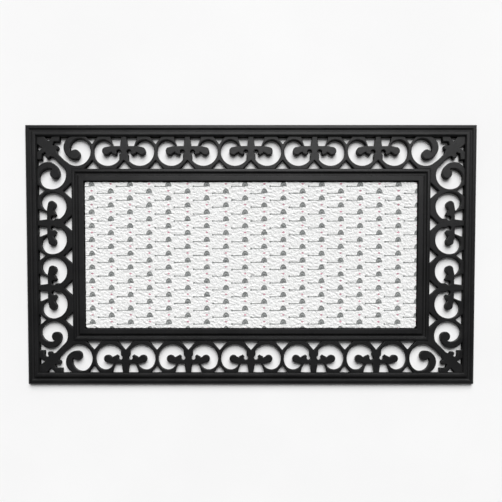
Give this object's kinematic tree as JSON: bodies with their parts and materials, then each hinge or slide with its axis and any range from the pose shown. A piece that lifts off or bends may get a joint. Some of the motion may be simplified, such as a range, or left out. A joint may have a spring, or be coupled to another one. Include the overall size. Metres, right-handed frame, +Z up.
{
  "type": "door mat",
  "caption": "Rectangular rubber door mat with an openwork scroll border between grooved rails, and a lift-out felt insert with a small repeating print.",
  "frame": {"origin": "centre of the underside, on the floor", "axes": "+X along the length, +Y towards the back long edge, +Z up out of the walking surface"},
  "size_m": [0.76, 0.437, 0.01],
  "materials": {
    "moulded_rubber": "satin, finely grained moulded rubber",
    "backing_rubber": "matt foam-rubber backing",
    "printed_felt": "bumpy white needle felt with a small repeating print"
  },
  "bodies": {
    "frame": {"corner_back_left": "moulded_rubber", "corner_back_right": "moulded_rubber", "corner_front_left": "moulded_rubber", "corner_front_right": "moulded_rubber", "inner_rail_back": "moulded_rubber", "inner_rail_front": "moulded_rubber", "inner_rail_left": "moulded_rubber", "inner_rail_right": "moulded_rubber", "outer_rail_back": "moulded_rubber", "outer_rail_front": "moulded_rubber", "outer_rail_left": "moulded_rubber", "outer_rail_right": "moulded_rubber", "recess_floor": "moulded_rubber", "scroll_back_1": "moulded_rubber", "scroll_back_2": "moulded_rubber", "scroll_back_3": "moulded_rubber", "scroll_back_4": "moulded_rubber", "scroll_back_5": "moulded_rubber", "scroll_front_1": "moulded_rubber", "scroll_front_2": "moulded_rubber", "scroll_front_3": "moulded_rubber", "scroll_front_4": "moulded_rubber", "scroll_front_5": "moulded_rubber", "scroll_left_1": "moulded_rubber", "scroll_left_2": "moulded_rubber", "scroll_right_1": "moulded_rubber", "scroll_right_2": "moulded_rubber"},
    "insert": {"insert_backing": "backing_rubber", "insert_face": "printed_felt"}
  },
  "joints": [
    {"name": "insert_lift", "type": "slide", "parent": "frame", "child": "insert", "axis": [0, 0, 1], "range_m": [0, 0.05]}
  ]
}
